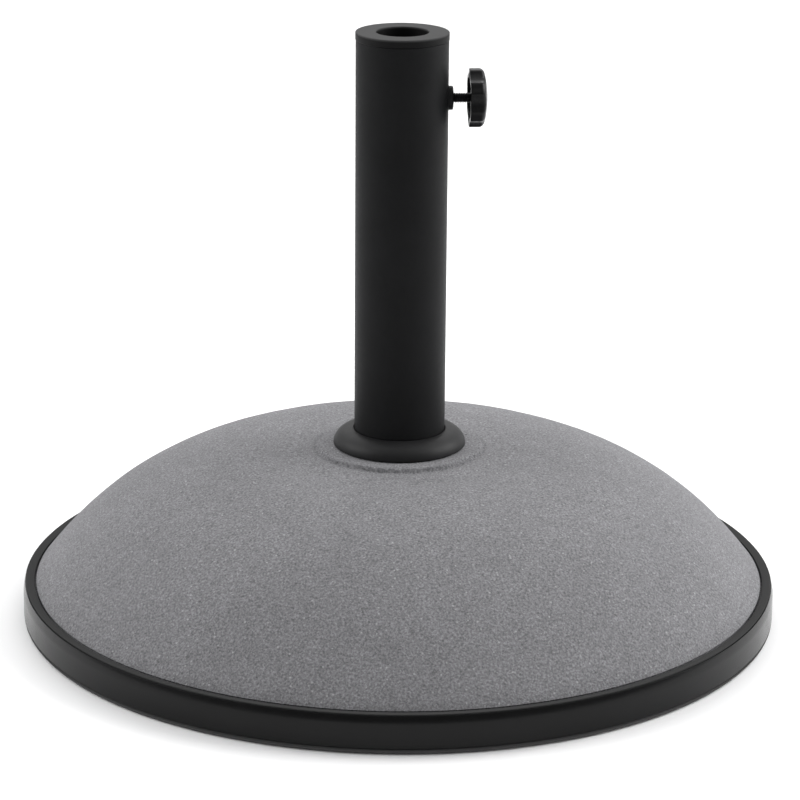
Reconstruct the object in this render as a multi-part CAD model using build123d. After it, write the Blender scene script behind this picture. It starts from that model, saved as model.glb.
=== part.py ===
from build123d import *
import os
from math import acos, asin, cos, degrees, radians, sin, sqrt, tan

# Round concrete parasol base with a plastic edge ring, a bolted steel stand pipe,
# a cover collar, a lift-out reducer for the pole and a thumb screw.
# Millimetres. Origin on the floor at the centre of the base, +Z up the pipe,
# +X along the thumb screw.

# ---- driving dimensions ----

# edge ring
RING_TOP_Z = 23.2
RING_TOP_R = 225.0
RING_INNER_R = 219.3
RING_INNER_Z = 22.6
RING_LIP_Z = 19.2
RING_SHOULDER_Z = 18.8
RING_SHOULDER_R = 226.0
RING_WALL_R = 226.3
RING_GROOVE_Z = 3.0
RING_GROOVE_DEPTH = 0.5
RING_LIP_BULGE = 0.72
RING_EDGE = 0.4
RING_FOOT_R = 223.4
RING_CAVITY_R = 222.9
RING_FLANGE_R = 212.0
RING_FLANGE_Z = 2.4
LUG_COUNT = 12
LUG_SIZE = (8.9, 8.0, 7.6)
LUG_START = 15.0

# concrete weight
EDGE_R = 218.5
EDGE_Z = 22.6
SKIRT_R = 201.2
DOME_ARC = 182.4
SHOULDER_R = 77.7
PLATEAU_FALL = 2.95
PLATEAU_Z = 101.3
PAD_R = 49.6
PAD_Z = 103.5
PAD_ROUND = 1.1
RECESS_R = 32.0
RECESS_TOP_R = 30.0
RECESS_Z = 22.0
BOLT_HOLE_R = 6.8

# stand pipe and what holds it down
PIPE_R = 27.0
PIPE_WALL = 1.5
PIPE_FOOT_Z = 44.0
PIPE_TOP_Z = 348.1
PLATE_T = 5.0
LINER_IN_R = 27.2
LINER_R = 29.2
LINER_FLANGE_R = 34.0
LINER_FLANGE_T = 2.0
BOLT_R = 6.0
BOLT_AF = 19.0
BOLT_HEAD_T = 7.5
BOLT_LENGTH = 45.0
BOLT_TIP_CHAMFER = 1.0
CORNER_FLAT = 0.95
CORNER_ANGLE = 30.0
NUT_T = 10.0
WASHER_R = 18.5
WASHER_T = 3.0
SPRING_R = 10.5
SPRING_T = 2.5
SPRING_HOLE_R = 6.1
SPRING_GAP = 1.5
WASHER_HOLE_R = 6.5

# pole socket
POLE_R = 15.3
CAP_R = 27.25
CAP_T = 4.7
CAP_EDGE = 0.6
SLEEVE_R = 17.5
SLEEVE_FOOT_Z = 288.0
SPIGOT_R = 25.2
SPIGOT_WALL = 2.0
SPIGOT_FOOT_Z = 322.0
RIB_T = 2.0
RIB_FOOT_Z = 300.0
SOCKET_RIBS = 6
SLOT_R = 4.6
GUIDE_R = 25.3
GUIDE_TUBE_R = 17.4
GUIDE_FOOT_Z = 66.0
GUIDE_TOP_Z = 110.0
GUIDE_DISC_T = 3.0
GUIDE_MOUTH = 2.0

# cover collar
COLLAR_R = 39.4
COLLAR_H = 10.0
COLLAR_BORE_R = 27.3
COLLAR_WALL = 2.2
COLLAR_HUB_Z = 105.0

# thumb screw
SCREW_Z = 313.8
BOSS_R = 7.0
BOSS_FACE_X = 29.6
BOSS_BACK_X = 24.5
BOSS_CHAMFER = 0.7
SCREW_R = 3.0
SCREW_FIT = 0.06
PAD_TIP_X = 16.3
PAD_BACK_X = 20.5
TIP_PAD_R = 4.0
TIP_PAD_EDGE = 0.5
PILOT_R = 2.0
PILOT_TIP_X = 17.8
KNOB_R = 17.1
KNOB_VALLEY_R = 14.9
KNOB_SCALLOP_R = 9.6
KNOB_LOBES = 6
KNOB_BACK_X = 38.9
KNOB_APEX_X = 49.5
KNOB_SHOULDER = 2.0
KNOB_TIP_ROUND = 0.9
KNOB_DOME_ARC = 60.0
KNOB_WALL = 2.2
KNOB_HUB_R = 5.2
KNOB_HUB_X = 40.2
KNOB_RIB_T = 1.6
KNOB_RIB_X = 41.4
KNOB_CAVITY_X = 46.2
STUD_HEAD_AF = 8.0
STUD_HEAD_X = 42.6
STUD_HEAD_T = 4.0


# ---- helpers ----

def turned(*outline):
    """Solid turned about Z from a closed outline of (radius, height) edges."""
    return revolve(Plane.XZ * make_face(outline), axis=Axis.Z)


def turned_polygon(points, roundings=()):
    """Solid turned about Z from corner points, with some corners rounded."""
    face = make_face(Polyline(*points, close=True))
    for corner, radius in roundings:
        face = fillet(face.vertices().sort_by_distance(Vector(*corner, 0))[0], radius)
    return revolve(Plane.XZ * face, axis=Axis.Z)


def disc(radius, low, high, hole=0.0):
    """Round plate or tube between two heights."""
    body = extrude(Plane.XY.offset(low) * Circle(radius), high - low)
    if hole:
        body -= extrude(Plane.XY.offset(low) * Circle(hole), high - low)
    return body


def hexagon(across_flats, low, high):
    """Hexagonal prism between two heights."""
    profile = RegularPolygon(across_flats / 2, 6, major_radius=False)
    return extrude(Plane.XY.offset(low) * profile, high - low)


def corner_cut(across_flats, face_z, inwards):
    """Ring that takes the corners off one end of a hexagon, inwards being +1 or -1 along Z."""
    inner = across_flats / 2 * CORNER_FLAT
    outer = across_flats / sqrt(3) + 1
    drop = (outer - inner) * tan(radians(CORNER_ANGLE)) * inwards
    return turned_polygon([(inner, face_z), (outer, face_z), (outer, face_z + drop)])


def around(shape, count, start=0.0):
    """Copies of a shape spread evenly about Z."""
    return [Rot(0, 0, start + turn * 360 / count) * shape for turn in range(count)]


def radial_bar(inner, outer, thickness, low, high, start=0.0, count=1):
    """Upright bars that run outwards from the Z axis."""
    length = outer - inner
    bar = Pos(inner + length / 2, 0, (low + high) / 2) * Box(length, thickness, high - low)
    return around(bar, count, start)


def on_screw(shape):
    """Turns a shape made along +Z so that it lies along the thumb screw."""
    return Plane((0, 0, SCREW_Z), x_dir=(0, 0, 1), z_dir=(1, 0, 0)) * shape


# ---- ring and weight ----

def make_trim_ring():
    """Plastic channel round the edge, with a foot lip, a flange and anchor lugs."""
    groove_r = RING_WALL_R - RING_GROOVE_DEPTH
    lip = (RING_FOOT_R + (groove_r - RING_FOOT_R) * RING_LIP_BULGE,
           RING_GROOVE_Z * (1 - RING_LIP_BULGE))
    ring = turned(
        Line((RING_FLANGE_R, 0), (RING_FOOT_R, 0)),
        ThreePointArc((RING_FOOT_R, 0), lip, (groove_r, RING_GROOVE_Z)),
        Line((groove_r, RING_GROOVE_Z), (RING_WALL_R, RING_GROOVE_Z + RING_GROOVE_DEPTH)),
        Polyline(
            (RING_WALL_R, RING_GROOVE_Z + RING_GROOVE_DEPTH),
            (RING_SHOULDER_R, RING_SHOULDER_Z),
            (RING_TOP_R, RING_TOP_Z - RING_EDGE),
            (RING_TOP_R - RING_EDGE, RING_TOP_Z),
            (RING_INNER_R, RING_INNER_Z),
            (RING_INNER_R, RING_LIP_Z),
            (RING_CAVITY_R, RING_LIP_Z),
            (RING_CAVITY_R, RING_FLANGE_Z),
            (RING_FLANGE_R, RING_FLANGE_Z),
            (RING_FLANGE_R, 0),
        ),
    )
    return ring + lugs()


def lugs():
    """Anchor lugs that stand on the ring's flange inside the concrete."""
    length, width, height = LUG_SIZE
    return radial_bar(RING_CAVITY_R - length, RING_CAVITY_R, width,
                      RING_FLANGE_Z, RING_FLANGE_Z + height, LUG_START, LUG_COUNT)


def dome_curve():
    """Edges of the dome from the plateau down to the edge, each tangent to the last."""
    fall = radians(PLATEAU_FALL)
    foot_r = PAD_R + PAD_ROUND
    shoulder_z = PLATEAU_Z - (SHOULDER_R - foot_r) * tan(fall)
    centre_r = SHOULDER_R - DOME_ARC * sin(fall)
    centre_z = shoulder_z - DOME_ARC * cos(fall)
    end_turn = asin((SKIRT_R - centre_r) / DOME_ARC)
    middle_turn = (fall + end_turn) / 2
    middle = (centre_r + DOME_ARC * sin(middle_turn), centre_z + DOME_ARC * cos(middle_turn))
    skirt = (SKIRT_R, centre_z + DOME_ARC * cos(end_turn))
    return [
        Line((foot_r, PLATEAU_Z), (SHOULDER_R, shoulder_z)),
        ThreePointArc((SHOULDER_R, shoulder_z), middle, skirt),
        TangentArc(skirt, (EDGE_R, EDGE_Z), tangent=(cos(end_turn), -sin(end_turn))),
    ]


def make_concrete_weight():
    """Cast dome with a raised pad on rounded steps, a stepped socket and a bolt recess beneath."""
    flange_z = PAD_Z - LINER_FLANGE_T
    weight = turned(
        *dome_curve(),
        Polyline(
            (EDGE_R, EDGE_Z),
            (EDGE_R, RING_LIP_Z),
            (RING_CAVITY_R, RING_LIP_Z),
            (RING_CAVITY_R, RING_FLANGE_Z),
            (RECESS_R, RING_FLANGE_Z),
            (RECESS_TOP_R, RECESS_Z),
            (BOLT_HOLE_R, RECESS_Z),
            (BOLT_HOLE_R, PIPE_FOOT_Z),
            (LINER_R, PIPE_FOOT_Z),
            (LINER_R, flange_z),
            (LINER_FLANGE_R, flange_z),
            (LINER_FLANGE_R, PAD_Z),
            (PAD_R - PAD_ROUND, PAD_Z),
        ),
        RadiusArc((PAD_R - PAD_ROUND, PAD_Z), (PAD_R, PAD_Z - PAD_ROUND), PAD_ROUND),
        RadiusArc((PAD_R, PLATEAU_Z + PAD_ROUND), (PAD_R + PAD_ROUND, PLATEAU_Z), -PAD_ROUND),
    )
    return weight - lugs()


def make_socket_liner():
    """Plastic sleeve cast into the weight, which the pipe drops into."""
    flange_z = PAD_Z - LINER_FLANGE_T
    sleeve = disc(LINER_R, PIPE_FOOT_Z, flange_z, LINER_IN_R)
    return sleeve + disc(LINER_FLANGE_R, flange_z, PAD_Z, LINER_IN_R)


# ---- pipe and its fastening ----

def make_standpipe():
    """Steel tube with a hole for the screw boss near the top."""
    pipe = disc(PIPE_R, PIPE_FOOT_Z, PIPE_TOP_Z, PIPE_R - PIPE_WALL)
    return pipe - on_screw(disc(BOSS_R, 0, PIPE_R + 5))


def make_tube_end_plate():
    """Steel disc welded into the foot of the pipe."""
    return disc(PIPE_R - PIPE_WALL, PIPE_FOOT_Z, PIPE_FOOT_Z + PLATE_T, WASHER_HOLE_R)


def make_clamp_nut():
    """Nut welded to the end plate."""
    low = PIPE_FOOT_Z + PLATE_T
    high = low + NUT_T
    blank = hexagon(BOLT_AF, low, high) - corner_cut(BOLT_AF, low, 1) - corner_cut(BOLT_AF, high, -1)
    return blank - disc(BOLT_R, low, high)


def make_clamp_bolt():
    """Hexagon bolt put in from below."""
    seat = RECESS_Z - WASHER_T - SPRING_T
    under = seat - BOLT_HEAD_T
    shank = disc(BOLT_R, seat, seat + BOLT_LENGTH)
    shank = chamfer(shank.edges().sort_by(Axis.Z)[-1], BOLT_TIP_CHAMFER)
    return shank + hexagon(BOLT_AF, under, seat) - corner_cut(BOLT_AF, under, 1)


def make_clamp_washer():
    """Large washer that spreads the bolt's load on the concrete."""
    return disc(WASHER_R, RECESS_Z - WASHER_T, RECESS_Z, WASHER_HOLE_R)


def make_spring_washer():
    """Split washer between the bolt head and the large washer."""
    top = RECESS_Z - WASHER_T
    ring = disc(SPRING_R, top - SPRING_T, top, SPRING_HOLE_R)
    split = Box(SPRING_R, SPRING_GAP, 4 * SPRING_T)
    split = Pos(SPRING_R / 2 + SPRING_HOLE_R / 2, 0, top) * Rot(0, 30, 0) * split
    return ring - split


def make_cover_collar():
    """Domed cover ring round the foot of the pipe, hollow beneath."""
    top = PAD_Z + COLLAR_H
    span = COLLAR_R - COLLAR_BORE_R
    inner_span = span - COLLAR_WALL
    inner_h = COLLAR_H - COLLAR_WALL
    hub_r = COLLAR_BORE_R + COLLAR_WALL
    hub_top = PAD_Z + inner_h * sqrt(1 - (COLLAR_WALL / inner_span) ** 2)
    hub_angle = degrees(acos(COLLAR_WALL / inner_span))
    return turned(
        EllipticalCenterArc((COLLAR_BORE_R, PAD_Z), span, COLLAR_H, 0, arc_size=90),
        Polyline((COLLAR_BORE_R, top), (COLLAR_BORE_R, COLLAR_HUB_Z),
                 (hub_r, COLLAR_HUB_Z), (hub_r, hub_top)),
        EllipticalCenterArc((COLLAR_BORE_R, PAD_Z), inner_span, inner_h, 0, arc_size=hub_angle),
        Line((COLLAR_BORE_R + inner_span, PAD_Z), (COLLAR_R, PAD_Z)),
    )


# ---- pole socket ----

def make_reducer_cap():
    """Flanged cap with a guide sleeve, a spigot and ribs, slotted for the screw."""
    top = PIPE_TOP_Z + CAP_T
    flange = turned_polygon(
        [(POLE_R, PIPE_TOP_Z), (CAP_R, PIPE_TOP_Z), (CAP_R, top), (POLE_R, top)],
        [((CAP_R, PIPE_TOP_Z), CAP_EDGE), ((CAP_R, top), CAP_EDGE), ((POLE_R, top), CAP_EDGE)],
    )
    cap = flange + disc(SLEEVE_R, SLEEVE_FOOT_Z, PIPE_TOP_Z, POLE_R)
    cap += disc(SPIGOT_R, SPIGOT_FOOT_Z, PIPE_TOP_Z, SPIGOT_R - SPIGOT_WALL)
    cap += radial_bar(SLEEVE_R - 0.5, SPIGOT_R - SPIGOT_WALL / 2, RIB_T,
                      RIB_FOOT_Z, PIPE_TOP_Z, 30, SOCKET_RIBS)
    slot_depth = SCREW_Z - SLEEVE_FOOT_Z + 5
    slot = Pos(SLEEVE_R / 2 + 5, 0, SCREW_Z - slot_depth / 2) * Box(SLEEVE_R, 2 * SLOT_R, slot_depth)
    return cap - slot - on_screw(disc(SLOT_R, 5, SLEEVE_R + 5))


def make_pole_guide():
    """Ribbed sleeve in the lower pipe that centres the end of the pole."""
    top_disc = GUIDE_TOP_Z - GUIDE_DISC_T
    guide = disc(GUIDE_TUBE_R, GUIDE_FOOT_Z, GUIDE_TOP_Z, POLE_R)
    for low in (GUIDE_FOOT_Z, top_disc):
        guide += disc(GUIDE_R, low, low + GUIDE_DISC_T, GUIDE_TUBE_R - 0.5)
    guide += radial_bar(GUIDE_TUBE_R - 0.5, GUIDE_R, RIB_T,
                        GUIDE_FOOT_Z + GUIDE_DISC_T, top_disc, 0, SOCKET_RIBS)
    mouth = turned_polygon([
        (0, GUIDE_TOP_Z - GUIDE_MOUTH),
        (POLE_R, GUIDE_TOP_Z - GUIDE_MOUTH),
        (GUIDE_TUBE_R, GUIDE_TOP_Z),
        (0, GUIDE_TOP_Z),
    ])
    return guide - mouth


# ---- thumb screw ----

def make_screw_boss():
    """Threaded steel boss welded into the pipe wall."""
    blank = disc(BOSS_R, BOSS_BACK_X, BOSS_FACE_X)
    blank = chamfer(blank.edges().sort_by(Axis.Z)[-1], BOSS_CHAMFER)
    return on_screw(blank - disc(SCREW_R + SCREW_FIT, BOSS_BACK_X, BOSS_FACE_X))


def make_screw_tip_pad():
    """Soft cap on the screw's tip, which bears on the pole and does not turn."""
    blank = disc(TIP_PAD_R, PAD_TIP_X, PAD_BACK_X)
    blank = chamfer(blank.edges().sort_by(Axis.Z)[0], TIP_PAD_EDGE)
    return on_screw(blank - disc(PILOT_R + SCREW_FIT, PILOT_TIP_X - 0.1, PAD_BACK_X))


def stud_blank():
    """The screw along +Z: pilot, threaded shank and hexagon head."""
    stud = disc(PILOT_R, PILOT_TIP_X, PAD_BACK_X)
    stud += disc(SCREW_R, PAD_BACK_X, STUD_HEAD_X)
    return stud + hexagon(STUD_HEAD_AF, STUD_HEAD_X, STUD_HEAD_X + STUD_HEAD_T)


def make_thumb_stud():
    """Steel screw moulded into the knob."""
    return on_screw(stud_blank())


def lobed(radius, valley_radius, scallop_radius, low, high, tip_round):
    """Prism with a scallop between each pair of lobes, one lobe at local +X."""
    outline = Sketch() + Circle(radius)
    scallop = Pos(valley_radius + scallop_radius, 0, 0) * Circle(scallop_radius)
    for cut in around(scallop, KNOB_LOBES, 180 / KNOB_LOBES):
        outline -= cut
    return extrude(Plane.XY.offset(low) * fillet(outline.vertices(), tip_round), high - low)


def knob_envelope():
    """Turned shape with the knob's straight side, round shoulder and domed face."""
    centre = KNOB_APEX_X - KNOB_DOME_ARC
    rim = (KNOB_R, centre + sqrt(KNOB_DOME_ARC**2 - KNOB_R**2))
    middle = (KNOB_R / 2, centre + sqrt(KNOB_DOME_ARC**2 - KNOB_R**2 / 4))
    face = make_face([
        Polyline((0, KNOB_APEX_X), (0, KNOB_BACK_X), (KNOB_R, KNOB_BACK_X), rim),
        ThreePointArc(rim, middle, (0, KNOB_APEX_X)),
    ])
    face = fillet(face.vertices().sort_by_distance(Vector(*rim, 0))[0], KNOB_SHOULDER)
    return revolve(Plane.XZ * face, axis=Axis.Z)


def make_thumb_knob():
    """Lobed knob with a domed face, hollow and ribbed behind."""
    body = lobed(KNOB_R, KNOB_VALLEY_R, KNOB_SCALLOP_R, KNOB_BACK_X, KNOB_APEX_X, KNOB_TIP_ROUND)
    body &= knob_envelope()
    body -= lobed(KNOB_R - KNOB_WALL, KNOB_VALLEY_R - KNOB_WALL, KNOB_SCALLOP_R + KNOB_WALL,
                  KNOB_BACK_X, KNOB_CAVITY_X, KNOB_TIP_ROUND / 2)
    body += disc(KNOB_HUB_R, KNOB_HUB_X, KNOB_CAVITY_X + 0.5)
    body += radial_bar(KNOB_HUB_R - 0.5, KNOB_VALLEY_R - KNOB_WALL / 2, KNOB_RIB_T,
                       KNOB_RIB_X, KNOB_CAVITY_X + 0.5, 180 / KNOB_LOBES, KNOB_LOBES)
    return on_screw(body - stud_blank())


PIECES = {
    "concrete_weight": make_concrete_weight,
    "trim_ring": make_trim_ring,
    "socket_liner": make_socket_liner,
    "standpipe": make_standpipe,
    "tube_end_plate": make_tube_end_plate,
    "clamp_nut": make_clamp_nut,
    "clamp_bolt": make_clamp_bolt,
    "clamp_washer": make_clamp_washer,
    "spring_washer": make_spring_washer,
    "cover_collar": make_cover_collar,
    "reducer_cap": make_reducer_cap,
    "pole_guide": make_pole_guide,
    "screw_boss": make_screw_boss,
    "screw_tip_pad": make_screw_tip_pad,
    "thumb_stud": make_thumb_stud,
    "thumb_knob": make_thumb_knob,
}

os.makedirs("parts", exist_ok=True)
for name, make in PIECES.items():
    export_step(make(), f"parts/{name}.step")
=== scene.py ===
import math

import bmesh
import bpy
import numpy as np
from mathutils import Matrix, Vector


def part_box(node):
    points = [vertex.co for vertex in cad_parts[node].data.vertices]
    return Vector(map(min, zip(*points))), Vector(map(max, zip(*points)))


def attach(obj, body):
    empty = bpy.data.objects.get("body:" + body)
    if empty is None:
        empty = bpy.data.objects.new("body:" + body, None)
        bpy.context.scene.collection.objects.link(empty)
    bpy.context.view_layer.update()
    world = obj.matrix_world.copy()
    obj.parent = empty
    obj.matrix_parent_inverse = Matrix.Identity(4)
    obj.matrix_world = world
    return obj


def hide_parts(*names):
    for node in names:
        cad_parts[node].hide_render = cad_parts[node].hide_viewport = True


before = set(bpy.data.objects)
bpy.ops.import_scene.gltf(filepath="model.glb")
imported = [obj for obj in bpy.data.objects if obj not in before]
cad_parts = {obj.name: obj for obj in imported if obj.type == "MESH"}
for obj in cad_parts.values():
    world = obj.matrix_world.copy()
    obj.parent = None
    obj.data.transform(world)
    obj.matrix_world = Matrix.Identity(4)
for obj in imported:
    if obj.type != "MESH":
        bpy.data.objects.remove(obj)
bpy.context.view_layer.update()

MM = 0.001
TAU = 2 * math.pi
rng = np.random.default_rng(7)


# ---- sizes read from the frame, in millimetres ----

def low(node, axis):
    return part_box(node)[0][axis] / MM


def high(node, axis):
    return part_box(node)[1][axis] / MM


X, Y, Z = range(3)
ring_r = -low("trim_ring", X)
ring_top = high("trim_ring", Z)
pad_z = low("cover_collar", Z)
collar_r = high("cover_collar", X)
collar_top = high("cover_collar", Z)
pipe_r = high("standpipe", X)
pipe_foot = low("standpipe", Z)
pipe_top = high("standpipe", Z)
screw_z = (low("screw_boss", Z) + high("screw_boss", Z)) / 2
boss_r = high("screw_boss", Y)
boss_back = low("screw_boss", X)
boss_face = high("screw_boss", X)
knob_back = low("thumb_knob", X)
knob_apex = high("thumb_knob", X)
knob_r = (high("thumb_knob", Z) - low("thumb_knob", Z)) / 2

# ---- sizes that the frame's boxes don't give, in millimetres ----

# edge ring
FLANGE_R, FLANGE_Z, CAVITY_R, LIP_Z = 212.0, 2.4, 222.9, 19.2
RING_TOP_R, RING_INNER_R, RING_INNER_Z = 224.3, 219.5, 22.6
RING_FOOT_R, RING_FOOT_Z, CREASE_R, CREASE_Z, RING_WALL_Z = 226.15, 3.2, 225.8, 3.5, 3.9
RING_SHOULDER_R, RING_SHOULDER_Z, RING_SHOULDER_ROUND = 226.15, 17.6, 12.0
RING_EDGE_R, RING_EDGE_Z = 224.95, 22.9
GROOVE_R, GROOVE_INNER_R, GROOVE_Z = 224.85, 224.4, 21.8

# concrete weight
EDGE_R, EDGE_Z, EDGE_UNDERCUT = 218.4, 22.7, 0.7
SKIRT_R, DOME_ARC = 201.2, 182.4
SHOULDER_R, PLATEAU_FALL, PLATEAU_Z = 77.7, 2.95, 101.3
PAD_R, PAD_STEP = 49.6, 2.6
RECESS_R, RECESS_TOP_R, RECESS_Z = 32.0, 30.0, 22.0
BOLT_HOLE_R, LINER_R, LINER_FLANGE_R, LINER_FLANGE_T = 6.8, 29.2, 34.0, 2.0
# Painted shade: (radius, shade) stops of a darker band round the foot of the pad's step.
PAINTED_STEP_SHADE = (47.9, 1.0), (49.6, 0.85), (51.2, 0.78), (53.0, 1.0)    # (radius, shade) at the pad's step

# cover collar
COLLAR_BORE_R, COLLAR_WALL = 27.3, 2.2
COLLAR_FOOT_GAP, COLLAR_UNDERCUT = 0.7, 1.3

# pipe, boss and bolt
PIPE_WALL = 1.5
DRILL_FROM, DRILL_TO = 15, 32
WELD = 0.45
BOLT_R, BOLT_AF, BOLT_LENGTH = 6.0, 19.0, 45.0
BOLT_PITCH = 1.75

# thumb screw
SCREW_R, SCREW_PITCH = 3.0, 1.0
PILOT_R = 2.0
STUD_HEAD_AF, STUD_HEAD_X = 8.0, 42.6
KNOB_VALLEY, KNOB_SCALLOP, KNOB_LOBES = 14.9, 9.6, 6
KNOB_ROUND, KNOB_TIP, KNOB_DOME, KNOB_WALL = 2.3, 0.4, 60.0, 2.2
KNOB_HUB_R, KNOB_HUB_X, KNOB_FLOOR_X = 5.2, 40.2, 46.2
KNOB_RIB_T, KNOB_RIB_X = 1.6, 41.4


# ---- node helpers ----

class Shader:
    """A material's node tree with short calls for the nodes used here."""

    SOCKETS = {"rough": "Roughness", "metal": "Metallic", "spec": "Specular IOR Level"}

    def __init__(self, name):
        self.material = bpy.data.materials.new(name)
        self.material.use_nodes = True
        self.tree = self.material.node_tree
        self.bsdf = self.tree.nodes["Principled BSDF"]
        self.place = self.node("ShaderNodeTexCoord").outputs["Object"]

    def node(self, kind, **settings):
        made = self.tree.nodes.new(kind)
        for key, value in settings.items():
            setattr(made, key, value)
        return made

    def feed(self, value, socket):
        """Links a socket, or sets the number or colour on it."""
        if isinstance(value, bpy.types.NodeSocket):
            self.tree.links.new(value, socket)
        elif socket.type == "RGBA":
            value = value if isinstance(value, tuple) else (value, value, value)
            socket.default_value = (*value, 1.0)
        else:
            socket.default_value = value

    def set(self, **values):
        for key, value in values.items():
            self.bsdf.inputs[self.SOCKETS[key]].default_value = value

    def noise(self, scale, detail=4.0, rough=0.55, vector=None):
        made = self.node("ShaderNodeTexNoise")
        made.inputs["Scale"].default_value = scale
        made.inputs["Detail"].default_value = detail
        made.inputs["Roughness"].default_value = rough
        self.feed(vector or self.place, made.inputs["Vector"])
        return made.outputs["Fac"]

    def from_axis(self):
        """Distance from the Z axis in metres."""
        flat = self.node("ShaderNodeVectorMath", operation="MULTIPLY")
        self.feed(self.place, flat.inputs[0])
        flat.inputs[1].default_value = (1, 1, 0)
        length = self.node("ShaderNodeVectorMath", operation="LENGTH")
        self.feed(flat.outputs["Vector"], length.inputs[0])
        return length.outputs["Value"]

    def cells(self, scale):
        """Distance from the nearest of many scattered points, and a random colour for each."""
        made = self.node("ShaderNodeTexVoronoi")
        made.inputs["Scale"].default_value = scale
        self.feed(self.place, made.inputs["Vector"])
        return made.outputs["Distance"], made.outputs["Color"]

    def ramp(self, source, *stops):
        made = self.node("ShaderNodeValToRGB")
        elements = made.color_ramp.elements
        while len(elements) < len(stops):
            elements.new(0.5)
        for element, (at, colour) in zip(elements, stops):
            colour = colour if isinstance(colour, tuple) else (colour, colour, colour)
            element.position = at
            element.color = (*colour, 1.0)
        self.feed(source, made.inputs["Fac"])
        return made.outputs["Color"]

    def mix(self, a, b, fac=0.5, blend="MIX"):
        made = self.node("ShaderNodeMix", data_type="RGBA", blend_type=blend)
        self.feed(fac, made.inputs[0])
        self.feed(a, made.inputs[6])
        self.feed(b, made.inputs[7])
        return made.outputs[2]

    def math(self, a, b, operation="ADD"):
        made = self.node("ShaderNodeMath", operation=operation)
        self.feed(a, made.inputs[0])
        self.feed(b, made.inputs[1])
        return made.outputs[0]

    def spots(self, scale, share, size):
        """Scattered round spots: the share of the cells that have one, and its size in the cell."""
        distance, pick = self.cells(scale)
        chosen = self.ramp(pick, (0.0, 1.0), (share, 1.0), (share + 0.02, 0.0))
        shape = self.ramp(distance, (0.0, 1.0), (size * 0.6, 0.8), (size, 0.0))
        return self.math(chosen, shape, "MULTIPLY")

    def colour(self, source):
        self.feed(source, self.bsdf.inputs["Base Color"])

    def rough(self, source):
        self.feed(source, self.bsdf.inputs["Roughness"])

    def bump(self, *layers):
        """Bump from (height, distance in metres, strength) layers, one on top of another."""
        normal = None
        for height, distance, strength in layers:
            made = self.node("ShaderNodeBump")
            made.inputs["Strength"].default_value = strength
            made.inputs["Distance"].default_value = distance
            self.feed(height, made.inputs["Height"])
            if normal:
                self.feed(normal, made.inputs["Normal"])
            normal = made.outputs["Normal"]
        self.feed(normal, self.bsdf.inputs["Normal"])


# ---- mesh helpers ----

def upright(points):
    """Points made in millimetres about Z, in metres."""
    return np.asarray(points, float) * MM


def on_screw(points):
    """Points made in millimetres with +Z along the thumb screw and +X up, in place in metres."""
    points = np.asarray(points, float)
    return np.stack([points[..., 2], -points[..., 1], points[..., 0] + screw_z], axis=-1) * MM


def add_piece(name, mesh, sharp=35.0):
    """Object from a mesh, with smooth faces, and sharp edges where it turns by more than sharp."""
    work = bmesh.new()
    work.from_mesh(mesh)
    bmesh.ops.remove_doubles(work, verts=work.verts, dist=1e-7)
    bmesh.ops.recalc_face_normals(work, faces=work.faces)
    limit = math.radians(sharp)
    for face in work.faces:
        face.smooth = True
    for edge in work.edges:
        edge.smooth = not (edge.is_manifold and edge.calc_face_angle(0) > limit)
    work.to_mesh(mesh)
    work.free()
    piece = bpy.data.objects.new(name, mesh)
    bpy.context.scene.collection.objects.link(piece)
    return piece


def polar_ring(radii, height):
    """Points round +Z at the given radii. height is one number or one for each point."""
    step = TAU / len(radii)
    heights = height if isinstance(height, list) else [height] * len(radii)
    return [(r * math.cos(i * step), r * math.sin(i * step), h)
            for i, (r, h) in enumerate(zip(radii, heights))]


def stacked(name, rings, place=upright, sharp=35.0, closed=False, shape=None):
    """Surface over rings of points, where a ring of one point closes an end.

    closed joins the last ring to the first, and shape moves the placed vertices.
    """
    starts = np.cumsum([0] + [len(ring) for ring in rings])
    faces = []
    for a in range(len(rings) if closed else len(rings) - 1):
        b = (a + 1) % len(rings)
        count = max(len(rings[a]), len(rings[b]))
        for i in range(count):
            near = [starts[a] + k % len(rings[a]) for k in (i, (i + 1) % count)]
            far = [starts[b] + k % len(rings[b]) for k in ((i + 1) % count, i)]
            corners = [int(c) for c in dict.fromkeys(near + far)]
            if len(corners) > 2:
                faces.append(corners)
    vertices = place([point for ring in rings for point in ring])
    if shape:
        vertices = shape(vertices)
    mesh = bpy.data.meshes.new(name)
    mesh.from_pydata(vertices.tolist(), [], faces)
    return add_piece(name, mesh, sharp)


def turned(name, outline, segments, place=upright, sharp=35.0, shape=None):
    """Closed outline of (radius, height) points turned about Z."""
    rings = [polar_ring([r] * segments, z) for r, z in outline]
    return stacked(name, rings, place, sharp, closed=True, shape=shape)


def rounded(corners, steps=4):
    """Closed outline from (radius, height, rounding) corners."""
    points = []
    for i, (x, y, radius) in enumerate(corners):
        here = Vector((x, y))
        before = (Vector(corners[i - 1][:2]) - here).normalized()
        after = (Vector(corners[(i + 1) % len(corners)][:2]) - here).normalized()
        turn = before.angle(after)
        if not radius or turn > math.radians(178):
            points.append((x, y))
            continue
        reach = radius / math.tan(turn / 2)
        middle = here + (before + after).normalized() * radius / math.sin(turn / 2)
        a = here + before * reach - middle
        b = here + after * reach - middle
        swing = a.angle(b)
        for k in range(steps + 1):
            t = k / steps
            p = middle + (a * math.sin((1 - t) * swing) + b * math.sin(t * swing)) / math.sin(swing)
            points.append((p.x, p.y))
    return points


def spread(points, longest):
    """An open run of points with no gap longer than longest, without its last point."""
    out = []
    for a, b in zip(points, points[1:]):
        parts = max(1, math.ceil(math.dist(a, b) / longest))
        out += [(a[0] + (b[0] - a[0]) * k / parts, a[1] + (b[1] - a[1]) * k / parts)
                for k in range(parts)]
    return out


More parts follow.
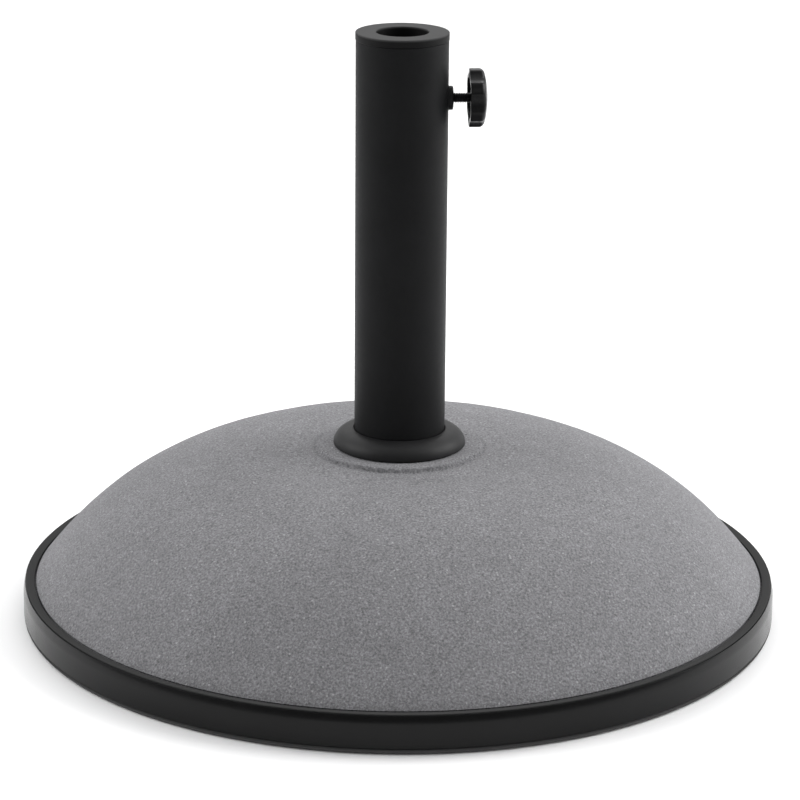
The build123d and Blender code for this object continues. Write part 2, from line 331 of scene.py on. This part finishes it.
def ripple(points, wavelength, count=18):
    """Smooth seeded unevenness between about -1 and 1, with no direction."""
    total = np.zeros(points.shape[:-1])
    for _ in range(count):
        way = rng.normal(size=3)
        way *= TAU / (wavelength * rng.uniform(0.7, 1.5)) / np.linalg.norm(way)
        total += np.sin(points @ way + rng.uniform(0, TAU))
    return total / math.sqrt(count / 2) / 1.6


def merge(name, *pieces):
    """Joins several new pieces into one."""
    work = bmesh.new()
    for piece in pieces:
        work.from_mesh(piece.data)
        bpy.data.objects.remove(piece)
    mesh = bpy.data.meshes.new(name)
    work.to_mesh(mesh)
    work.free()
    return add_piece(name, mesh)


def cut_away(name, piece, cutter):
    """Takes a closed cutter out of a piece."""
    modifier = piece.modifiers.new("cut", "BOOLEAN")
    modifier.operation = "DIFFERENCE"
    modifier.solver = "EXACT"
    modifier.object = cutter
    depsgraph = bpy.context.evaluated_depsgraph_get()
    settled = bpy.data.meshes.new_from_object(piece.evaluated_get(depsgraph))
    bpy.data.objects.remove(piece)
    bpy.data.objects.remove(cutter)
    return add_piece(name, settled)


def dress(piece, material, slot, body, *nodes):
    """Gives a new piece its material and its body, and hides the nodes it stands for. The slot
    argument is not used.
    """
    piece.data.materials.clear()
    piece.data.materials.append(material)
    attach(piece, body)
    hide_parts(*nodes)


# ---- materials ----

def concrete_material():
    """Fine sandy concrete: grey paste, dark and light grains, air pits darkened with painted shade,
    clouding, and painted shade in the crease at the pad's step.
    """
    s = Shader("concrete")
    cloud = s.noise(13, 3)
    blotch = s.noise(70, 4, 0.6)
    sand = s.noise(820, 2, 0.6)
    fine = s.noise(1900, 2, 0.6)
    grey = s.ramp(sand, (0.30, (0.123, 0.1225, 0.127)), (0.50, (0.195, 0.194, 0.202)),
                  (0.70, (0.280, 0.279, 0.290)))
    grey = s.mix(grey, s.ramp(cloud, (0.3, 0.90), (0.7, 1.06)), 0.6, "MULTIPLY")
    grey = s.mix(grey, s.ramp(blotch, (0.3, 0.90), (0.7, 1.08)), 0.6, "MULTIPLY")
    grey = s.mix(grey, s.ramp(fine, (0.3, 0.72), (0.7, 1.24)), 0.8, "MULTIPLY")
    dark = s.spots(560, 0.14, 0.50)
    light = s.spots(610, 0.12, 0.46)
    pit = s.spots(150, 0.10, 0.15)
    grey = s.mix(grey, 0.075, s.math(dark, 0.60, "MULTIPLY"))
    grey = s.mix(grey, 0.520, s.math(light, 0.45, "MULTIPLY"))
    # Painted shade: a darker band round the foot of the pad's step, broken up by noise.
    span = 60
    reach = s.math(s.from_axis(), 1 / (span * MM), "MULTIPLY")
    painted_step_shade = s.ramp(reach, *[(r / span, shade) for r, shade in PAINTED_STEP_SHADE])
    grey = s.mix(grey, painted_step_shade, s.ramp(s.noise(260, 3), (0.25, 0.55), (0.6, 1.0)), "MULTIPLY")
    # Air pits get painted shade: their colour is darkened, and their depth is in the bump below.
    s.colour(s.mix(grey, 0.07, s.math(pit, 0.7, "MULTIPLY")))
    s.rough(s.ramp(blotch, (0.3, 0.86), (0.7, 0.97)))
    s.set(spec=0.2)
    s.bump((s.noise(190, 4), 0.0004, 0.3), (sand, 0.0003, 0.5), (light, 0.0002, 0.4),
           (s.math(1.0, pit, "SUBTRACT"), 0.0005, 0.8))
    return s.material


def plastic_material(name, shade, roughness, spec=0.13, grain=2600, lighter_by_height=()):
    """Moulded plastic: fine grain, slow colour drift, faint rubs and specks of dust.

    The last argument gives (height in millimetres, shade) stops of lightness added to the colour, with
    the surface made dull where it is added.
    """
    s = Shader(name)
    drift = s.noise(22, 3)
    grainy = s.noise(grain, 2, 0.6)
    tint = (shade, shade * 1.01, shade * 1.05)
    worn = tuple(value * 1.35 + 0.002 for value in tint)
    base = s.mix(tint, worn, s.math(s.ramp(drift, (0.42, 0.0), (0.75, 1.0)), 0.5, "MULTIPLY"))
    base = s.mix(base, s.ramp(grainy, (0.3, 0.85), (0.7, 1.12)), 0.6, "MULTIPLY")
    base = s.mix(base, 0.05, s.math(s.spots(340, 0.05, 0.12), 0.3, "MULTIPLY"))
    smear = s.mix(s.noise(60, 5, 0.62), grainy, 0.35)
    rough = s.ramp(smear, (0.3, roughness - 0.05), (0.7, roughness + 0.07))
    if lighter_by_height:
        span = max(height for height, _ in lighter_by_height)
        height = s.node("ShaderNodeSeparateXYZ")
        s.feed(s.place, height.inputs[0])
        level = s.math(height.outputs["Z"], 1 / (span * MM), "MULTIPLY")
        added_tone = s.ramp(level, *[(at / span, value) for at, value in lighter_by_height])
        base = s.mix(base, added_tone, 1.0, "ADD")
        rough = s.mix(rough, 0.95, s.ramp(added_tone, (0.0, 0.0), (0.02, 1.0)))
    s.set(spec=spec)
    s.colour(base)
    s.rough(rough)
    s.bump((grainy, 0.00004, 0.45), (s.noise(140, 3), 0.00015, 0.06))
    return s.material


def paint_material():
    """Powder coat: orange peel, fine texture and slow drift."""
    s = Shader("powder_coat")
    peel = s.noise(420, 2, 0.5)
    fine = s.noise(2600, 2, 0.6)
    shade = s.ramp(s.noise(30, 4), (0.3, (0.0094, 0.0096, 0.0100)), (0.7, (0.0122, 0.0125, 0.0131)))
    s.colour(s.mix(shade, s.ramp(fine, (0.35, 0.82), (0.68, 1.20)), 0.6, "MULTIPLY"))
    s.rough(s.ramp(s.mix(peel, fine, 0.5), (0.3, 0.42), (0.7, 0.54)))
    s.set(spec=0.075)
    s.bump((peel, 0.0001, 0.18), (fine, 0.00004, 0.4))
    return s.material


def steel_material(name, shade, roughness):
    """Plated or blackened steel with fine scratches and dull patches."""
    s = Shader(name)
    stretch = s.node("ShaderNodeMapping")
    stretch.inputs["Scale"].default_value = (1, 1, 14)
    s.feed(s.place, stretch.inputs["Vector"])
    scratch = s.noise(500, 4, 0.7, stretch.outputs["Vector"])
    patch = s.noise(120, 4)
    dull = tuple(value * 0.72 for value in shade)
    s.colour(s.mix(shade, dull, s.ramp(patch, (0.4, 0.0), (0.7, 1.0))))
    s.rough(s.ramp(s.mix(scratch, patch, 0.5), (0.3, roughness - 0.08), (0.7, roughness + 0.12)))
    s.set(metal=1.0)
    s.bump((scratch, 0.00003, 0.3), (patch, 0.0001, 0.1))
    return s.material


concrete = concrete_material()
# Below 3.6 mm the ring's foot is lighter and dull: a painted reflection of the bright floor. Above
# 22.45 mm its top face gets a lighter, dull tone.
ring_plastic = plastic_material("ring_plastic", 0.0032, 0.19, spec=0.19, lighter_by_height=(
    (0.0, 0.12), (3.2, 0.03), (3.6, 0.0), (22.3, 0.0), (22.45, 0.030), (23.2, 0.030)))
collar_plastic = plastic_material("collar_plastic", 0.0105, 0.50, spec=0.21)
cap_plastic = plastic_material("cap_plastic", 0.006, 0.50, spec=0.10, grain=1500, lighter_by_height=(
    (0.0, 0.0), (352.2, 0.0), (352.6, 0.065), (352.8, 0.065)))
knob_plastic = plastic_material("knob_plastic", 0.007, 0.25, spec=0.12)
liner_plastic = plastic_material("liner_plastic", 0.05, 0.5)
pad_plastic = plastic_material("pad_plastic", 0.03, 0.5)
powder_coat = paint_material()
black_steel = steel_material("black_steel", (0.035, 0.035, 0.038), 0.40)
zinc = steel_material("zinc", (0.62, 0.63, 0.64), 0.34)


# ---- concrete weight ----

def dome_points():
    """Dome from the pad's foot down to the edge: a slope, an arc and a flatter arc."""
    fall = math.radians(PLATEAU_FALL)
    foot_r = PAD_R + PAD_STEP / 2
    shoulder_z = PLATEAU_Z - (SHOULDER_R - foot_r) * math.tan(fall)
    centre = (SHOULDER_R - DOME_ARC * math.sin(fall), shoulder_z - DOME_ARC * math.cos(fall))
    end = math.asin((SKIRT_R - centre[0]) / DOME_ARC)
    points = [(foot_r, PLATEAU_Z)]
    points += [(centre[0] + DOME_ARC * math.sin(a), centre[1] + DOME_ARC * math.cos(a))
               for a in np.linspace(fall, end, 64)]
    skirt = points[-1]
    run = math.dist(skirt, (EDGE_R, EDGE_Z))
    chord = math.atan2(skirt[1] - EDGE_Z, EDGE_R - skirt[0])
    bulge = math.tan((chord - end) / 2) * run / 2
    for t in np.linspace(0, 1, 12)[1:-1]:
        lift = bulge * (1 - (2 * t - 1) ** 2)
        points.append((skirt[0] + (EDGE_R - skirt[0]) * t + lift * math.sin(chord),
                       skirt[1] + (EDGE_Z - skirt[1]) * t + lift * math.cos(chord)))
    return points + [(EDGE_R, EDGE_Z)]


def uneven(points):
    """Hand-cast unevenness: gentle over the dome, broken and pitted along the pad's step."""
    r = np.hypot(points[:, 0], points[:, 1]) / MM
    z = points[:, 2] / MM
    exposed = np.clip((z - 24) / 6, 0, 1) * np.clip((r - 42) / 4, 0, 1)
    shift = ripple(points, 0.055) * 0.13 + ripple(points, 0.012) * 0.05
    near_step = np.exp(-((r - PAD_R) / 2.2) ** 2) * (z > 95)
    crumbs = np.clip(ripple(points, 0.0030) - 0.30, 0, 1)
    lift = np.minimum(shift, 0.2) * exposed - near_step * crumbs * 0.6
    push = near_step * (ripple(points, 0.02) * 0.40 + ripple(points, 0.005) * 0.20)
    moved = points.copy()
    moved[:, 2] += lift * MM
    moved[:, :2] *= (1 + push / np.maximum(r, 1))[:, None]
    return moved


def make_concrete():
    """Cast dome with its raised pad, the seat for the ring, the recess beneath and the socket."""
    liner_z = pad_z - LINER_FLANGE_T
    pad = [(LINER_FLANGE_R, pad_z)]
    pad += [(PAD_R + PAD_STEP * (t - 0.5),
             pad_z - (pad_z - PLATEAU_Z) * (1 - math.cos(math.pi * t)) / 2)
            for t in np.linspace(0, 1, 15)]
    dome = dome_points()
    hidden = [
        dome[-1], (EDGE_R - EDGE_UNDERCUT, EDGE_Z - EDGE_UNDERCUT),
        (EDGE_R - EDGE_UNDERCUT, LIP_Z), (CAVITY_R, LIP_Z), (CAVITY_R, FLANGE_Z), (RECESS_R, FLANGE_Z),
        (RECESS_TOP_R, RECESS_Z), (BOLT_HOLE_R, RECESS_Z), (BOLT_HOLE_R, pipe_foot),
        (LINER_R, pipe_foot), (LINER_R, liner_z), (LINER_FLANGE_R, liner_z), (LINER_FLANGE_R, pad_z),
    ]
    outline = spread(pad[:2], 4) + spread(pad[1:], 0.5) + spread(dome, 2.2) + spread(hidden, 12)
    dress(turned("concrete_dome", outline, 640, sharp=40, shape=uneven),
          concrete, "concrete", "base", "concrete_weight")


# ---- edge ring and cover collar ----

def make_ring():
    """Ring with a rounded foot under a crease, a leaning shoulder and a top face behind a groove."""
    outline = rounded([
        (FLANGE_R, 0.0, 0.5), (RING_FOOT_R, 0.0, 3.0), (RING_FOOT_R, RING_FOOT_Z, 0.1),
        (CREASE_R, CREASE_Z, 0.1), (ring_r, RING_WALL_Z, 0.3),
        (RING_SHOULDER_R, RING_SHOULDER_Z, RING_SHOULDER_ROUND), (RING_EDGE_R, RING_EDGE_Z, 0.1),
        (GROOVE_R, GROOVE_Z, 0.05), (GROOVE_INNER_R, GROOVE_Z, 0.05), (RING_TOP_R, ring_top, 0.15),
        (RING_INNER_R, RING_INNER_Z, 0.25), (RING_INNER_R, LIP_Z, 0.2), (CAVITY_R, LIP_Z, 0.4),
        (CAVITY_R, FLANGE_Z, 0.4), (FLANGE_R, FLANGE_Z, 0.4),
    ], 6)
    dress(turned("edge_ring", outline, 720, sharp=30), ring_plastic, "ring_plastic", "base",
          "trim_ring")


def make_collar():
    """Domed cover ring, hollow beneath, whose outer foot is undercut for a thin shadow line."""
    height = collar_top - pad_z
    span = collar_r - COLLAR_BORE_R
    foot_z = pad_z + COLLAR_FOOT_GAP
    hub_z = pad_z + 1.5
    outline = [(COLLAR_BORE_R + span * math.cos(a), foot_z + (height - COLLAR_FOOT_GAP) * math.sin(a))
               for a in np.linspace(0, math.radians(86), 36)]
    outline += [(COLLAR_BORE_R + 0.35, collar_top - 0.03), (COLLAR_BORE_R, collar_top - 0.4),
                (COLLAR_BORE_R, hub_z), (COLLAR_BORE_R + COLLAR_WALL, hub_z)]
    inner_span, inner_height = span - COLLAR_WALL, height - COLLAR_WALL
    first = math.acos(COLLAR_WALL / inner_span)
    outline += [(COLLAR_BORE_R + inner_span * math.cos(a), pad_z + inner_height * math.sin(a))
                for a in np.linspace(first, 0, 20)]
    outline += [(collar_r - COLLAR_UNDERCUT, pad_z), (collar_r - COLLAR_UNDERCUT + 0.2, foot_z - 0.05)]
    dress(turned("collar_shell", outline, 256), collar_plastic, "collar_plastic", "collar",
          "cover_collar")


# ---- stand pipe and boss ----

def make_pipe():
    """Steel tube with rounded ends, drilled on one side for the boss."""
    inner = pipe_r - PIPE_WALL
    outline = rounded([(pipe_r, pipe_foot, 0.4), (pipe_r, pipe_top, 0.5), (inner, pipe_top, 0.4),
                       (inner, pipe_foot, 0.4)])
    pipe = turned("pipe_blank", outline, 192, sharp=30)
    drill = [[(0, 0, DRILL_FROM)], polar_ring([boss_r] * 72, DRILL_FROM),
             polar_ring([boss_r] * 72, DRILL_TO), [(0, 0, DRILL_TO)]]
    pipe = cut_away("stand_pipe", pipe, stacked("drill", drill, on_screw))
    dress(pipe, powder_coat, "pipe_paint", "base", "standpipe")


def weld_bead():
    """Small rippled fillet weld where the boss comes out of the round pipe."""
    rings = []
    for turn in np.arange(160) * TAU / 160:
        size = WELD * (1 + 0.10 * math.sin(turn * 21 + 0.6) + 0.06 * math.sin(turn * 9))
        seat = math.sqrt(pipe_r**2 - (boss_r * math.sin(turn)) ** 2)
        toe = math.sqrt(pipe_r**2 - ((boss_r + size) * math.sin(turn)) ** 2)
        profile = [(boss_r - 0.3, seat + size), (boss_r + 0.25 * size, seat + 0.72 * size),
                   (boss_r + 0.62 * size, toe + 0.36 * size), (boss_r + size, toe - 0.02),
                   (boss_r + 0.8 * size, toe - 0.4), (boss_r - 0.3, seat - 0.4)]
        rings.append([(r * math.cos(turn), r * math.sin(turn), x) for r, x in profile])
    return stacked("weld", rings, on_screw, 60, closed=True)


def make_boss():
    """Round threaded boss with the weld round it."""
    outline = rounded([(SCREW_R + 0.1, boss_back, 0.3), (boss_r, boss_back, 0.3),
                       (boss_r, boss_face, 0.8), (SCREW_R + 0.1, boss_face, 0.5)])
    boss = turned("boss", outline, 96, on_screw, 40)
    dress(merge("boss_with_weld", boss, weld_bead()), powder_coat, "pipe_paint", "base", "screw_boss")


# ---- threaded pieces ----

def thread_rings(start, finish, pitch, crest, depth, segments, lead):
    """Rings of a threaded rod whose ends taper over the lead."""
    count = math.ceil((finish - start) / pitch * 12)
    rings = []
    for height in np.linspace(start, finish, count + 1):
        taper = min(1.0, (height - start) / lead, (finish - height) / lead)
        limit = crest - depth * (1 - taper)
        radii = []
        for i in range(segments):
            phase = (height / pitch - i / segments) % 1.0
            wave = min(1.0, max(0.0, (abs(phase - 0.5) * 2 - 0.12) / 0.72))
            radii.append(min(crest - depth * wave, limit))
        rings.append(polar_ring(radii, height))
    return rings


def hexagon_ring(across, segments, height, limit):
    """Ring round a hexagon, held to a limit where its corners are turned off."""
    sector = TAU / 6
    radii = []
    for i in range(segments):
        off = (i * TAU / segments + sector / 2) % sector - sector / 2
        radii.append(min(limit, across / 2 / math.cos(off)))
    return polar_ring(radii, height)


def make_bolt():
    """Hexagon bolt put in from below, with a dished head and a rolled thread."""
    under, tip = low("clamp_bolt", Z), high("clamp_bolt", Z)
    seat = tip - BOLT_LENGTH
    segments = 96
    flat, corner = BOLT_AF / 2 * 0.95, BOLT_AF / math.sqrt(3)
    drop = (corner - flat) * math.tan(math.radians(30))
    rings = [[(0, 0, under + 0.3)], polar_ring([BOLT_AF * 0.36] * segments, under + 0.3),
             polar_ring([BOLT_AF * 0.38] * segments, under)]
    rings += [hexagon_ring(BOLT_AF, segments, under + drop * t, flat + (corner - flat) * t)
              for t in np.linspace(0, 1, 7)]
    rings.append(hexagon_ring(BOLT_AF, segments, seat, corner))
    rings += [polar_ring([BOLT_R - 0.05] * segments, seat + z) for z in (0, 8, 16)]
    rings += thread_rings(seat + 16.01, tip, BOLT_PITCH, BOLT_R - 0.02, 0.95, segments, 1.2)
    rings.append([(0, 0, tip)])
    dress(stacked("hex_bolt", rings, sharp=32), zinc, "zinc_steel", "base", "clamp_bolt")


def make_stud():
    """Thumb screw: pilot for the tip cap, M6 thread and the head moulded into the knob."""
    start, finish = low("thumb_stud", X), high("thumb_stud", X)
    shoulder = high("screw_tip_pad", X)
    segments = 48
    corner = STUD_HEAD_AF / math.sqrt(3)
    rings = [[(0, 0, start)]]
    rings += [polar_ring([r] * segments, x) for r, x in
              ((PILOT_R - 0.4, start), (PILOT_R - 0.03, start + 0.4), (PILOT_R - 0.03, shoulder))]
    rings += thread_rings(shoulder, STUD_HEAD_X, SCREW_PITCH, SCREW_R - 0.02, 0.55, segments, 0.8)
    rings += [hexagon_ring(STUD_HEAD_AF, segments, x, corner) for x in (STUD_HEAD_X, finish)]
    rings.append([(0, 0, finish)])
    dress(stacked("threaded_stud", rings, on_screw, 32), black_steel, "screw_steel", "screw",
          "thumb_stud")


# ---- thumb knob ----

def lobed_radii(outer, valley, scallop, segments):
    """Radii round six lobes parted by scallops, with softened tips and a lobe at the start."""
    sector = TAU / KNOB_LOBES
    centre = valley + scallop
    radii = []
    for i in range(segments):
        off = i * TAU / segments % sector - sector / 2
        across = scallop**2 - (centre * math.sin(off)) ** 2
        cut = centre * math.cos(off) - math.sqrt(across) if across > 0 else 2 * outer
        soft = math.exp((outer - cut) / KNOB_TIP) + 1
        radii.append(outer - KNOB_TIP * math.log(soft))
    return radii


def dome_x(radius):
    """Place of the knob's domed face along the screw, at a radius."""
    return knob_apex - KNOB_DOME + math.sqrt(KNOB_DOME**2 - radius**2)


def knob_outside(outer):
    """Rings from the back rim along the side, round the shoulder and over the domed face."""
    rim = 0.45
    rings = []
    for turn in np.radians((0, 30, 60, 90)):
        rings.append(polar_ring([r - rim * (1 - math.sin(turn)) for r in outer],
                                knob_back + rim * (1 - math.cos(turn))))
    tops = [dome_x(r) for r in outer]
    for t in (0.25, 0.5, 0.75):
        rings.append(polar_ring(outer, [knob_back + rim + (top - KNOB_ROUND - knob_back - rim) * t
                                        for top in tops]))
    for turn in np.radians(np.linspace(0, 90, 13)):
        drawn = [r - KNOB_ROUND * (1 - math.cos(turn)) for r in outer]
        heights = [top - KNOB_ROUND * (1 - math.sin(turn)) + (dome_x(d) - top) * math.sin(turn)
                   for d, top in zip(drawn, tops)]
        rings.append(polar_ring(drawn, heights))
    for t in np.linspace(1, 0, 14)[1:-1]:
        shrunk = [(r - KNOB_ROUND) * t for r in outer]
        rings.append(polar_ring(shrunk, [dome_x(r) for r in shrunk]))
    return rings + [[(0, 0, knob_apex)]]


def knob_inside(inner, segments):
    """Rings from the pocket round the screw's head, over the hub, to the rim of the hollow back."""
    finish = high("thumb_stud", X)
    corner = STUD_HEAD_AF / math.sqrt(3)
    rings = [[(0, 0, finish + 0.05)]]
    rings += [hexagon_ring(STUD_HEAD_AF + 0.04, segments, x, corner)
              for x in (finish + 0.05, STUD_HEAD_X)]
    rings += [polar_ring([r] * segments, x) for r, x in
              ((SCREW_R + 0.03, STUD_HEAD_X), (SCREW_R + 0.03, KNOB_HUB_X + 0.4),
               (SCREW_R + 0.4, KNOB_HUB_X), (KNOB_HUB_R - 0.4, KNOB_HUB_X),
               (KNOB_HUB_R - 0.1, KNOB_HUB_X + 0.1), (KNOB_HUB_R, KNOB_HUB_X + 0.4),
               (KNOB_HUB_R, KNOB_FLOOR_X - 0.6), (KNOB_HUB_R + 0.18, KNOB_FLOOR_X - 0.18),
               (KNOB_HUB_R + 0.6, KNOB_FLOOR_X))]
    rings += [polar_ring([r - 0.7 for r in inner], KNOB_FLOOR_X),
              polar_ring([r - 0.2 for r in inner], KNOB_FLOOR_X - 0.2),
              polar_ring(inner, KNOB_FLOOR_X - 0.7),
              polar_ring(inner, (KNOB_FLOOR_X + knob_back) / 2),
              polar_ring(inner, knob_back + 0.3),
              polar_ring([r + 0.1 for r in inner], knob_back + 0.08),
              polar_ring([r + 0.3 for r in inner], knob_back)]
    return rings


def knob_rib(turn):
    """One of the ribs between the hub and the wall, a closed block with bevelled edges."""
    inner, outer = KNOB_HUB_R - 0.5, KNOB_VALLEY - KNOB_WALL / 2
    size = Vector((outer - inner, KNOB_RIB_T, KNOB_FLOOR_X + 0.5 - KNOB_RIB_X))
    work = bmesh.new()
    bmesh.ops.create_cube(work, size=1)
    spin = Matrix.Rotation(turn, 4, "Z")
    middle = Vector(((inner + outer) / 2, 0, KNOB_RIB_X + size.z / 2))
    for vertex in work.verts:
        vertex.co = vertex.co * size + middle
    bmesh.ops.bevel(work, geom=work.edges[:], offset=0.25, segments=3, affect="EDGES", profile=0.5)
    bmesh.ops.transform(work, matrix=spin, verts=work.verts)
    for vertex in work.verts:
        vertex.co = on_screw(vertex.co)
    mesh = bpy.data.meshes.new("rib")
    work.to_mesh(mesh)
    work.free()
    return add_piece("rib", mesh)


def make_knob():
    """Six-lobed knob with a domed face and a hollow, ribbed back."""
    segments = 288
    outer = lobed_radii(knob_r, KNOB_VALLEY, KNOB_SCALLOP, segments)
    inner = lobed_radii(knob_r - KNOB_WALL, KNOB_VALLEY - KNOB_WALL, KNOB_SCALLOP + KNOB_WALL,
                        segments)
    shell = stacked("shell", knob_outside(outer) + knob_inside(inner, segments), on_screw,
                    closed=True)
    ribs = [knob_rib((k + 0.5) * TAU / KNOB_LOBES) for k in range(KNOB_LOBES)]
    dress(merge("lobed_knob", shell, *ribs), knob_plastic, "knob_plastic", "screw", "thumb_knob")


make_concrete()
make_ring()
make_collar()
make_pipe()
make_boss()
make_bolt()
make_stud()
make_knob()

# ---- nodes carried over from the frame ----

CARRIED = {
    "socket_liner": liner_plastic,
    "tube_end_plate": powder_coat,
    "clamp_nut": zinc,
    "clamp_washer": zinc,
    "spring_washer": zinc,
    "reducer_cap": cap_plastic,
    "pole_guide": cap_plastic,
    "screw_tip_pad": pad_plastic,
}

for node, material in CARRIED.items():
    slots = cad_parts[node].data.materials
    slots.clear()
    slots.append(material)


# ---- floor, light and camera ----

def make_floor():
    """Wide plain floor with a very faint drift of tone."""
    half = 8.0
    mesh = bpy.data.meshes.new("floor")
    mesh.from_pydata([(-half, -half, 0), (half, -half, 0), (half, half, 0), (-half, half, 0)],
                     [], [(0, 1, 2, 3)])
    floor = bpy.data.objects.new("floor", mesh)
    bpy.context.scene.collection.objects.link(floor)
    s = Shader("floor_white")
    s.colour(s.ramp(s.noise(3, 2), (0.3, 0.90), (0.7, 0.93)))
    s.set(rough=0.8, spec=0.1)
    mesh.materials.append(s.material)


def make_sky(*stops):
    """Soft studio surround whose brightness depends on how far behind the object it is."""
    world = bpy.data.worlds.new("studio")
    bpy.context.scene.world = world
    world.use_nodes = True
    tree = world.node_tree
    coordinate = tree.nodes.new("ShaderNodeTexCoord")
    split = tree.nodes.new("ShaderNodeSeparateXYZ")
    ramp = tree.nodes.new("ShaderNodeValToRGB")
    shift = tree.nodes.new("ShaderNodeMath")
    shift.operation = "MULTIPLY_ADD"
    shift.inputs[1].default_value = 0.5
    shift.inputs[2].default_value = 0.5
    while len(ramp.color_ramp.elements) < len(stops):
        ramp.color_ramp.elements.new(0.5)
    for element, (at, shade) in zip(ramp.color_ramp.elements, stops):
        element.position = at
        element.color = (shade, shade, shade * 1.01, 1)
    tree.links.new(coordinate.outputs["Generated"], split.inputs[0])
    tree.links.new(split.outputs["Y"], shift.inputs[0])
    tree.links.new(shift.outputs[0], ramp.inputs["Fac"])
    tree.links.new(ramp.outputs["Color"], tree.nodes["Background"].inputs["Color"])


def make_lamp(name, place, aim, size, power):
    """Soft rectangular lamp at a place, facing a point."""
    lamp = bpy.data.lights.new(name, "AREA")
    lamp.shape = "RECTANGLE"
    lamp.size, lamp.size_y = size
    lamp.energy = power
    thing = bpy.data.objects.new(name, lamp)
    bpy.context.scene.collection.objects.link(thing)
    thing.location = place
    thing.rotation_euler = (Vector(aim) - Vector(place)).to_track_quat("-Z", "Y").to_euler()


def make_camera():
    """A long lens, looking down at 18 degrees from a little to the left of the front."""
    distance, rise, azimuth, roll = 1.8995, 17.633, -3.4, 0.445
    aim = Vector((0.0002, 0, 0.1302))
    rise = math.radians(rise)
    tilt = math.radians(roll)
    view = Vector((0, math.cos(rise), -math.sin(rise)))
    level = Vector((1, 0, 0))
    above = level.cross(view)
    right = level * math.cos(tilt) + above * math.sin(tilt)
    up = above * math.cos(tilt) - level * math.sin(tilt)
    matrix = Matrix((right, up, -view)).transposed().to_4x4()
    matrix.translation = aim - view * distance
    camera = bpy.data.cameras.new("camera")
    camera.sensor_width = 36
    camera.lens = 143.22
    camera.clip_end = 50
    thing = bpy.data.objects.new("camera", camera)
    bpy.context.scene.collection.objects.link(thing)
    thing.matrix_world = Matrix.Rotation(math.radians(azimuth), 4, "Z") @ matrix
    bpy.context.scene.camera = thing


make_floor()
make_sky((0.0, 0.22), (0.4, 0.40), (0.65, 0.62), (1.0, 0.78))
make_lamp("top", (0.1, 0.25, 2.2), (0, 0, 0), (2.0, 1.8), 11)
make_lamp("front", (0.3, -1.5, 1.6), (0, 0, 0.2), (1.6, 0.5), 2)
make_lamp("high_left", (-1.7, 0.2, 1.25), (0, 0, 0), (1.4, 1.2), 23)
make_lamp("high_right", (1.7, 0.2, 1.25), (0, 0, 0), (1.4, 1.2), 32)
make_lamp("right", (1.8, 0.2, 0.7), (0, 0, 0.1), (1.2, 1.0), 5)
make_lamp("back", (0, 3.2, 2.4), (0, 3.0, 0), (4.0, 2.4), 60)
make_camera()
bpy.context.scene.view_settings.view_transform = "Standard"
